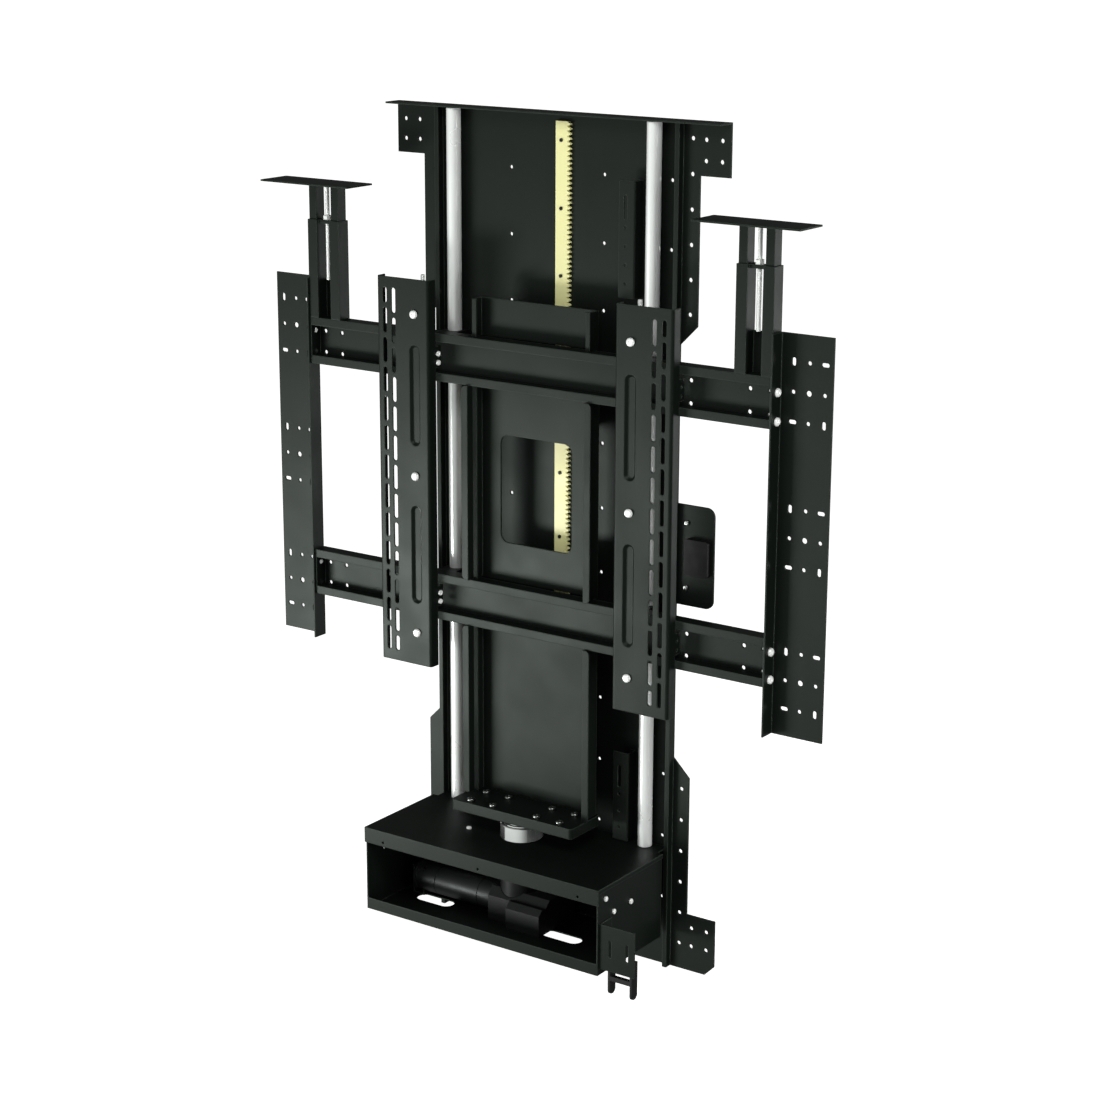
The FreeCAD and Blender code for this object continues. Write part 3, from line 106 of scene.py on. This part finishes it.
def finishSurface(tree, shader, look):
    # one recipe: a grain for bump, a broad mottle for roughness, and rounded edges that catch the light, with
    # a painted highlight colour on them
    place = addNode(tree, "ShaderNodeTexCoord")
    stretch = addNode(tree, "ShaderNodeMapping", {"Scale": look.get("stretch", (1, 1, 1))},
                      {"Vector": place.outputs["Object"]})
    grain = addNode(tree, "ShaderNodeTexNoise", {
        "Scale": 1000 / look["grainMm"], "Detail": surfaceRecipe["grainDetail"]},
        {"Vector": stretch.outputs["Vector"]})
    mottle = addNode(tree, "ShaderNodeTexNoise", {
        "Scale": 1000 / look["mottleMm"], "Detail": surfaceRecipe["mottleDetail"]},
        {"Vector": place.outputs["Object"]})
    spread = look["roughnessSpread"]
    rough = addNode(tree, "ShaderNodeMapRange", {
        "From Min": surfaceRecipe["mottleFrom"], "From Max": surfaceRecipe["mottleTo"],
        "To Min": look["roughness"] - spread, "To Max": look["roughness"] + spread},
        {"Value": mottle.outputs["Fac"]})
    tree.links.new(rough.outputs["Result"], shader.inputs["Roughness"])
    bump = addNode(tree, "ShaderNodeBump", {"Strength": look["bump"], "Distance": look["grainMm"] / 1000},
                   {"Height": grain.outputs["Fac"]})
    tree.links.new(bump.outputs["Normal"], shader.inputs["Normal"])
    if "edgeMm" not in look:
        return
    soft = addNode(tree, "ShaderNodeBevel", {
        "Radius": look["edgeMm"] / 1000, "samples": surfaceRecipe["edgeSamples"]})
    tree.links.new(soft.outputs["Normal"], bump.inputs["Normal"])
    if "edgeHighlightColour" not in look:
        return
    # the edge colour is a painted highlight: lighter where the rounded normal turns from the flat one
    flat = addNode(tree, "ShaderNodeNewGeometry")
    bend = addNode(tree, "ShaderNodeVectorMath", {"operation": "DOT_PRODUCT"})
    tree.links.new(soft.outputs["Normal"], bend.inputs[0])
    tree.links.new(flat.outputs["Normal"], bend.inputs[1])
    edgeHighlightMask = addNode(tree, "ShaderNodeMapRange", {
        "From Min": surfaceRecipe["highlightFrom"], "From Max": surfaceRecipe["highlightTo"]},
        {"Value": bend.outputs["Value"]})
    edgeHighlightRamp = addNode(tree, "ShaderNodeValToRGB", links={"Fac": edgeHighlightMask.outputs["Result"]})
    edgeHighlightRamp.color_ramp.elements[0].color = hexLinear(look["colour"])
    edgeHighlightRamp.color_ramp.elements[1].color = hexLinear(look["edgeHighlightColour"])
    tree.links.new(edgeHighlightRamp.outputs["Color"], shader.inputs["Base Color"])


looks = {
    # powder-coated steel: black, a trace of green, satin with a fine orange-peel skin;
    # its edges are drawn wider than the real folds, to show, and their lighter colour is a painted highlight
    "black_steel": {
        "name": "powder coated steel", "colour": "#0e120f", "edgeHighlightColour": "#3a413b", "sheenTint": "#d9e9dd",
        "shine": 0.22, "roughness": 0.44, "roughnessSpread": 0.04, "grainMm": 1.6, "mottleMm": 90,
        "bump": 0.10, "edgeMm": 2.4},
    # hard-chromed ground bar: an even, bright, soft sheen, kept half metallic for it;
    # the faint grinding round the bar is drawn coarser than real
    "chrome_rail": {
        "name": "hard chromed bar", "colour": "#fafcfa", "metallic": 0.5, "roughness": 0.3,
        "roughnessSpread": 0.03, "grainMm": 6.0, "stretch": (1, 1, 12), "mottleMm": 60, "bump": 0.0003},
    # turned steel tube: bright, with fine lathe rings
    "spindle_steel": {
        "name": "turned steel tube", "colour": "#fcfefc", "metallic": 0.9, "roughness": 0.12,
        "roughnessSpread": 0.04, "grainMm": 4.0, "stretch": (1, 1, 14), "mottleMm": 25, "bump": 0.002},
    # drawn and plated motor shell: dark satin metal
    "motor_steel": {
        "name": "plated motor shell", "colour": "#232725", "metallic": 0.6, "roughness": 0.45,
        "roughnessSpread": 0.05, "grainMm": 2.0, "mottleMm": 30, "bump": 0.05, "edgeMm": 0.8},
    # die-cast gear housing: dark paint over a slightly sandy casting, with a painted highlight on its edges
    "cast_grey": {
        "name": "painted die casting", "colour": "#171a18", "edgeHighlightColour": "#2a2e2b", "shine": 0.25,
        "roughness": 0.5, "roughnessSpread": 0.06, "grainMm": 1.4, "mottleMm": 30, "bump": 0.22,
        "edgeMm": 1.6},
    # bright zinc plate: nearly white in soft light, with a faint cloudy passivation
    "zinc": {
        "name": "bright zinc plate", "colour": "#f6f8f5", "metallic": 0.3, "roughness": 0.34,
        "roughnessSpread": 0.08, "grainMm": 1.0, "mottleMm": 6, "bump": 0.04},
    # older zinc plate on foot bolts and socket screws: grey and half dull
    "grey_zinc": {
        "name": "grey zinc plate", "colour": "#8a8d8a", "metallic": 1.0, "roughness": 0.3,
        "roughnessSpread": 0.06, "grainMm": 1.0, "mottleMm": 6, "bump": 0.03},
    # blackened steel: dull black oxide, lighter along its edges as a painted highlight
    "dark_steel": {
        "name": "black oxide steel", "colour": "#1b1d1c", "edgeHighlightColour": "#4a4d4b", "metallic": 0.6,
        "roughness": 0.42, "roughnessSpread": 0.06, "grainMm": 0.8, "mottleMm": 6, "bump": 0.06,
        "edgeMm": 0.4},
    # moulded nylon rack: cream, waxy, faintly mottled
    "rack_plastic": {
        "name": "moulded cream nylon", "colour": "#e8e5a6", "roughness": 0.42, "roughnessSpread": 0.06,
        "grainMm": 2.0, "mottleMm": 35, "bump": 0.05, "edgeMm": 0.5,
        "waxWeight": 0.08, "waxDepthMm": (4.0, 3.5, 2.0)},
    # moulded polyamide: black with a fine spark-eroded texture and a painted highlight on its edges
    "black_plastic": {
        "name": "moulded black polyamide", "colour": "#0b0d0b", "edgeHighlightColour": "#1f2320", "shine": 0.3,
        "roughness": 0.55, "roughnessSpread": 0.06, "grainMm": 0.9, "mottleMm": 20, "bump": 0.16,
        "edgeMm": 0.8},
}
finishes = {}
for slotName, look in looks.items():
    material, tree, shader = newMaterial(look["name"], look)
    finishSurface(tree, shader, look)
    if "waxWeight" in look:
        shader.inputs["Subsurface Weight"].default_value = look["waxWeight"]
        shader.inputs["Subsurface Radius"].default_value = [mm / 1000 for mm in look["waxDepthMm"]]
    finishes[slotName] = material
print("materials:", len(finishes))

notMirrored = ("screen_bracket", "panel_cheek", "drive_lid", "spindle_stage")
for name, node in frame["nodes"].items():
    for holder in node.material_slots:
        holder.link = "OBJECT"
        holder.material = finishes[nodeSlot[name]]
    if name.startswith(notMirrored):
        node.visible_glossy = False  # rails and collar mirror the studio instead


# Mesh helpers

meshRules = {"weld": 1e-6, "weldDigits": 6, "smoothDeg": 32}  # points within a micrometre are one


def finishPiece(name, bm, node, smoothDeg=meshRules["smoothDeg"], finish=None):
    # turns a bmesh into a piece that stands for a CAD node
    bmesh.ops.remove_doubles(bm, verts=bm.verts, dist=meshRules["weld"])
    bmesh.ops.recalc_face_normals(bm, faces=bm.faces)
    mesh = bpy.data.meshes.new(name)
    bm.to_mesh(mesh)
    bm.free()
    mesh.shade_smooth()
    mesh.set_sharp_from_angle(angle=math.radians(smoothDeg))
    piece = bpy.data.objects.new(name, mesh)
    bpy.context.scene.collection.objects.link(piece)
    mesh.materials.append(finishes[finish or nodeSlot[node]])
    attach(piece, nodeBody[node])
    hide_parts(node)
    return piece


def turned(bm, profile, segments, matrix):
    # revolves (radius, height) pairs about Z, then places the result
    rings = []
    for radius, height in profile:
        if radius < meshRules["weld"]:
            rings.append([bm.verts.new(matrix @ Vector((0, 0, height)))])
            continue
        ring = []
        for step in range(segments):
            turn = 2 * math.pi * step / segments
            point = Vector((radius * math.cos(turn), radius * math.sin(turn), height))
            ring.append(bm.verts.new(matrix @ point))
        rings.append(ring)
    for lower, upper in zip(rings, rings[1:]):
        for step in range(segments):
            after = (step + 1) % segments
            corners = [lower[step % len(lower)], lower[after % len(lower)],
                       upper[after % len(upper)], upper[step % len(upper)]]
            corners = list(dict.fromkeys(corners))
            if len(corners) > 2:
                bm.faces.new(corners)
    return rings


def solidBoxes(node):
    # the box of each separate solid in a CAD node, found by joining faces at shared corners
    mesh = frame["nodes"][node].data
    keys = {}
    owner = []
    for vertex in mesh.vertices:
        corner = tuple(round(c, meshRules["weldDigits"]) for c in vertex.co)
        owner.append(keys.setdefault(corner, len(keys)))
    parent = list(range(len(keys)))

    def root(index):
        while parent[index] != index:
            parent[index] = parent[parent[index]]
            index = parent[index]
        return index

    for face in mesh.polygons:
        first = root(owner[face.vertices[0]])
        for other in face.vertices[1:]:
            parent[root(owner[other])] = first
    boxes = {}
    for vertex in mesh.vertices:
        point = frame["nodes"][node].matrix_world @ vertex.co
        low, high = boxes.setdefault(root(owner[vertex.index]), (point.copy(), point.copy()))
        for axis in range(3):
            low[axis] = min(low[axis], point[axis])
            high[axis] = max(high[axis], point[axis])
    return sorted(boxes.values(), key=lambda box: tuple(box[0]))


def headFrame(box, out):
    # a frame at the outer end of a fastener's head, with its Z along the way the head faces
    low, high = box
    middle = (low + high) / 2
    axis = max(range(3), key=lambda index: abs(out[index]))
    middle[axis] = high[axis] if out[axis] > 0 else low[axis]
    return Matrix.Translation(middle) @ Vector(out).to_track_quat("Z", "X").to_matrix().to_4x4()


def hexPoint(across, turn):
    # a point on a hexagon's edge, seen at an angle from its middle
    part = (turn + math.pi / 6) % (math.pi / 3) - math.pi / 6
    radius = across / 2 / math.cos(part)
    return radius * math.cos(turn), radius * math.sin(turn)


def hexSocket(bm, rim, across, top, deep, matrix):
    # closes a round top face with a hexagon socket
    count = len(rim)
    mouth, floor = [], []
    for step in range(count):
        x, y = hexPoint(across, 2 * math.pi * step / count)
        mouth.append(bm.verts.new(matrix @ Vector((x, y, top))))
        floor.append(bm.verts.new(matrix @ Vector((x, y, top - deep))))
    for step in range(count):
        after = (step + 1) % count
        bm.faces.new([rim[step], rim[after], mouth[after], mouth[step]])
        bm.faces.new([mouth[step], mouth[after], floor[after], floor[step]])
    bm.faces.new(floor)


# Guide rails

railShape = {"segments": 64, "endChamfer": 0.0015}
for side in ("left", "right"):
    low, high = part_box(f"guide_rail_{side}")
    radius = (high[0] - low[0]) / 2
    tall = high[2] - low[2]
    chamfer = railShape["endChamfer"]
    foot = Matrix.Translation(((low[0] + high[0]) / 2, (low[1] + high[1]) / 2, low[2]))
    bm = bmesh.new()
    turned(bm, [(0, 0), (radius - chamfer, 0), (radius, chamfer), (radius, tall - chamfer),
                (radius - chamfer, tall), (0, tall)], railShape["segments"], foot)
    finishPiece(f"rail_{side}", bm, f"guide_rail_{side}")
print("guide rails turned")


# Drive motor: a drawn shell in three lengths, with a rolled rim at each end and an end cap

motorShape = {"segments": 72, "rim": 0.005, "rimDrop": 0.0018, "rimRound": 0.0015, "capShare": 0.62,
              "capLong": 0.006, "edge": 0.001, "seam": 0.0008, "seamShares": (0.3, 0.82)}
low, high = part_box("drive_motor")
radius, long = (high[2] - low[2]) / 2, high[0] - low[0]
shell, rim, rimRound = radius - motorShape["rimDrop"], motorShape["rim"], motorShape["rimRound"]
cap, capLong = radius * motorShape["capShare"], motorShape["capLong"]
edge, seam = motorShape["edge"], motorShape["seam"]
profile = [(0, 0), (cap, 0), (cap, capLong - edge), (cap + edge, capLong), (radius - rimRound, capLong),
           (radius, capLong + rimRound), (radius, capLong + rim), (shell, capLong + rim + edge)]
for share in motorShape["seamShares"]:
    at = long * share
    profile += [(shell, at - seam), (shell - seam, at), (shell, at + seam)]
profile += [(shell, long - rim - edge), (radius, long - rim), (radius, long - edge),
            (radius - edge, long), (0, long)]
along = Matrix.Translation((low[0], (low[1] + high[1]) / 2, (low[2] + high[2]) / 2))
lengthwise = Vector((1, 0, 0)).to_track_quat("Z", "Y").to_matrix().to_4x4()
bm = bmesh.new()
turned(bm, profile, motorShape["segments"], along @ lengthwise)
finishPiece("motorShell", bm, "drive_motor")


# Spindle sleeve: ground bright above the lid; the part inside the drive box takes the black oxide finish as
# painted shade

sleeveShape = {"segments": 72, "wall": 0.005, "chamfer": 0.0012}
low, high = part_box("spindle_sleeve")
radius, tall = (high[0] - low[0]) / 2, high[2] - low[2]
inner, chamfer = radius - sleeveShape["wall"], sleeveShape["chamfer"]
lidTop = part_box("drive_lid")[1][2]
foot = Matrix.Translation(((low[0] + high[0]) / 2, (low[1] + high[1]) / 2, low[2]))
bm = bmesh.new()
turned(bm, [(inner, 0), (radius, 0), (radius, lidTop - low[2]), (radius, tall - chamfer),
            (radius - chamfer, tall), (inner, tall), (inner, 0)], sleeveShape["segments"], foot)
sleeve = finishPiece("spindleSleeve", bm, "spindle_sleeve")
# the black oxide finish below the lid is painted shade for the tube inside the drive box
sleeve.data.materials.append(finishes["dark_steel"])
sleeve.visible_glossy = False  # the matt lid shows no mirror image of it
for face in sleeve.data.polygons:
    face.material_index = 1 if face.center.z < lidTop else 0
print("motor and spindle turned")


# Screws and bolts

fasteners = {
    # node: head diameter and height, rounding of its rim, hexagon socket and shank,
    # a finish that isn't the node's own, and whether side heads face inwards
    "foot_bolts": {"head": 0.014, "tall": 0.0045, "dome": 0.003, "socket": 0.005, "shank": 0.008,
                   "finish": "grey_zinc"},
    "bracket_bolts": {"head": 0.014, "tall": 0.0045, "dome": 0.003, "socket": 0.004, "shank": 0.008},
    "wing_bolts": {"head": 0.014, "tall": 0.005, "dome": 0.004, "socket": 0.005, "shank": 0.008,
                   "finish": "zinc"},
    "clamp_screws": {"head": 0.009, "tall": 0.003, "dome": 0.0012, "socket": 0.003, "shank": 0.005,
                     "inwards": True},
    "rack_screws": {"head": 0.006, "tall": 0.002, "dome": 0.0006, "socket": 0.0025, "shank": 0.0035},
    "socket_screws": {"head": 0.009, "tall": 0.003, "dome": 0.0014, "socket": 0.003, "shank": 0.005,
                      "finish": "grey_zinc"},
    "drive_box_screws": {"head": 0.009, "tall": 0.003, "dome": 0.0014, "socket": 0.003, "shank": 0.005},
}
# a socket's depth is a share of its width
headShape = {"segments": 24, "rimSteps": 4, "shankSegments": 16, "socketDepth": 0.3}


def headWay(box, inwards):
    # the way a head faces: along the odd side of its box, forwards, upwards, or away from the middle
    low, high = box
    size = high - low
    axis = min(range(3), key=lambda index: abs(size[index - 1] - size[index - 2]))
    way = Vector((0, 0, 0))
    way[axis] = (1 if low[0] + high[0] > 0 else -1, -1, 1)[axis]
    return -way if inwards else way


for node, spec in fasteners.items():
    bm = bmesh.new()
    for box in solidBoxes(node):
        way = headWay(box, spec.get("inwards", False))
        top = headFrame(box, way)
        long = abs((box[1] - box[0]).dot(way))
        seat = top @ Matrix.Translation((0, 0, -spec["tall"]))
        radius, dome, tall = spec["head"] / 2, spec["dome"], spec["tall"]
        profile = [(0, 0), (radius, 0)]
        for step in range(headShape["rimSteps"] + 1):
            lean = math.pi / 2 * step / headShape["rimSteps"]
            profile.append((radius - dome * (1 - math.cos(lean)), tall - dome * (1 - math.sin(lean))))
        rings = turned(bm, profile, headShape["segments"], seat)
        hexSocket(bm, rings[-1], spec["socket"], tall, spec["socket"] * headShape["socketDepth"], seat)
        shank = spec["shank"] / 2
        stem = [(0, tall - long), (shank, tall - long), (shank, 0), (0, 0)]
        turned(bm, stem, headShape["shankSegments"], seat)
    finishPiece(node.replace("_", " ").title().replace(" ", ""), bm, node, finish=spec.get("finish"))
print("fasteners made:", len(fasteners), "kinds")


# Threaded rods

# the pitch is drawn coarser than M8's 1.25 mm, to show
threads = {"pitch": 0.0022, "depth": 0.0007, "runOut": 0.002, "segments": 18, "stepsPerTurn": 4,
           "smoothDeg": 80}


def threadedBar(bm, box):
    low, high = box
    radius = (high[0] - low[0]) / 2
    tall = high[2] - low[2]
    centre = Vector(((low[0] + high[0]) / 2, (low[1] + high[1]) / 2, low[2]))
    count = int(tall / threads["pitch"] * threads["stepsPerTurn"])
    rings = []
    for level in range(count + 1):
        height = tall * level / count
        taper = min(1.0, height / threads["runOut"], (tall - height) / threads["runOut"])
        ring = []
        for step in range(threads["segments"]):
            turn = step / threads["segments"]
            phase = (height / threads["pitch"] - turn) % 1.0
            groove = threads["depth"] * (1 - abs(2 * phase - 1) * taper)
            angle = 2 * math.pi * turn
            reach = radius - groove
            point = Vector((reach * math.cos(angle), reach * math.sin(angle), height))
            ring.append(bm.verts.new(centre + point))
        rings.append(ring)
    for lower, upper in zip(rings, rings[1:]):
        for step in range(threads["segments"]):
            after = (step + 1) % threads["segments"]
            bm.faces.new([lower[step], lower[after], upper[after], upper[step]])
    bm.faces.new(list(reversed(rings[0])))
    bm.faces.new(rings[-1])


for node, label in (("mast_rod_left", "threadLeft"), ("mast_rod_right", "threadRight"),
                    ("levelling_screws", "levellingThreads")):
    bm = bmesh.new()
    for box in solidBoxes(node):
        threadedBar(bm, box)
    finishPiece(label, bm, node, smoothDeg=threads["smoothDeg"])
print("threads cut")


# Camera, fitted to the photograph's own lines

cameraFit = {"place": (2.2886, -3.2961, 1.7802), "yawDeg": 34.937, "pitchDeg": 15.218, "rollDeg": 0.175,
             "lensMm": 81.41, "sensorMm": 36.0, "clip": (0.05, 400.0)}
yaw, pitch = math.radians(cameraFit["yawDeg"]), math.radians(cameraFit["pitchDeg"])
backwards = Vector((math.sin(yaw) * math.cos(pitch), -math.cos(yaw) * math.cos(pitch), math.sin(pitch)))
lens = bpy.data.cameras.new("photoCamera")
lens.lens = cameraFit["lensMm"]
lens.sensor_width = cameraFit["sensorMm"]
lens.clip_start, lens.clip_end = cameraFit["clip"]
camera = bpy.data.objects.new("photoCamera", lens)
camera.location = cameraFit["place"]
level = (-backwards).to_track_quat("-Z", "Y")
camera.rotation_euler = (level @ Euler((0, 0, math.radians(cameraFit["rollDeg"]))).to_quaternion()).to_euler()
bpy.context.scene.collection.objects.link(camera)
bpy.context.scene.camera = camera


# Floor and light

floorLook = {"colour": "#fafbfa", "roughness": 0.9, "size": 400.0, "drop": 0.004, "glow": 1.0}
bpy.ops.mesh.primitive_plane_add(size=floorLook["size"], location=(0, 0, cadLow[2] - floorLook["drop"]))
floor = bpy.context.object
floor.name = "floor"
floorMaterial, _, floorShader = newMaterial("matt white paper", floorLook)
floorShader.inputs["Emission Color"].default_value = hexLinear(floorLook["colour"])
floorShader.inputs["Emission Strength"].default_value = floorLook["glow"]
floor.data.materials.append(floorMaterial)
floor.visible_glossy = False  # the dark steel shows the lamps, not the paper
floor.visible_diffuse = False
floor.visible_shadow = False  # low lamps shine through the paper

# the room grows brighter towards one side; the camera itself sees plain paper
studio = {"bright": (-0.45, -0.86, -0.22), "low": 0.09, "high": 0.66, "from": -0.05, "to": 0.95,
          "colour": "#f2f6f3", "paper": "#ffffff"}
world = bpy.data.worlds.new("studio")
world.use_nodes = True
room = world.node_tree
room.nodes.clear()
direction = addNode(room, "ShaderNodeTexCoord")
facing = addNode(room, "ShaderNodeVectorMath", {"operation": "DOT_PRODUCT"})
facing.inputs[1].default_value = Vector(studio["bright"]).normalized()
room.links.new(direction.outputs["Generated"], facing.inputs[0])
glow = addNode(room, "ShaderNodeMapRange", {
    "interpolation_type": "SMOOTHSTEP", "From Min": studio["from"], "From Max": studio["to"],
    "To Min": studio["low"], "To Max": studio["high"]}, {"Value": facing.outputs["Value"]})
roomLight = addNode(room, "ShaderNodeBackground", {"Color": hexLinear(studio["colour"])},
                    {"Strength": glow.outputs["Result"]})
paper = addNode(room, "ShaderNodeBackground", {"Color": hexLinear(studio["paper"])})
seen = addNode(room, "ShaderNodeLightPath")
either = addNode(room, "ShaderNodeMixShader", links={"Fac": seen.outputs["Is Camera Ray"]})
room.links.new(roomLight.outputs["Background"], either.inputs[1])
room.links.new(paper.outputs["Background"], either.inputs[2])
addNode(room, "ShaderNodeOutputWorld", links={"Surface": either.outputs["Shader"]})
bpy.context.scene.world = world
bpy.context.scene.view_settings.view_transform = "Standard"

softboxes = {
    # place, aim, width, height, watts, whether bright metal mirrors it
    "lowLeftBox": ((-1.42, -1.64, 0.0), (-0.25, -0.1, 0.5), 0.9, 0.5, 36, True),
    "sideBox": ((2.7, -0.62, 0.4), (0.1, -0.1, 0.6), 0.45, 1.6, 48, False),  # else a line shows on the rails
    "topBox": ((1.2, -1.6, 2.6), (0.0, -0.1, 0.6), 0.8, 0.8, 27, True),
    "backRightBox": ((2.2, 2.3, 0.5), (0.0, 0.0, 0.7), 1.3, 1.3, 26, True),
    "backLeftBox": ((-2.0, 2.2, -0.6), (0.0, 0.0, 0.7), 1.3, 1.3, 40, True),
}
for name, (place, aim, wide, tall, watts, mirrored) in softboxes.items():
    lamp = bpy.data.lights.new(name, "AREA")
    lamp.shape = "RECTANGLE"
    lamp.size, lamp.size_y = wide, tall
    lamp.energy = watts
    box = bpy.data.objects.new(name, lamp)
    box.location = place
    box.rotation_euler = (Vector(aim) - Vector(place)).to_track_quat("-Z", "Y").to_euler()
    box.visible_camera = False
    box.visible_glossy = mirrored
    bpy.context.scene.collection.objects.link(box)
print("camera, floor and lamps set")
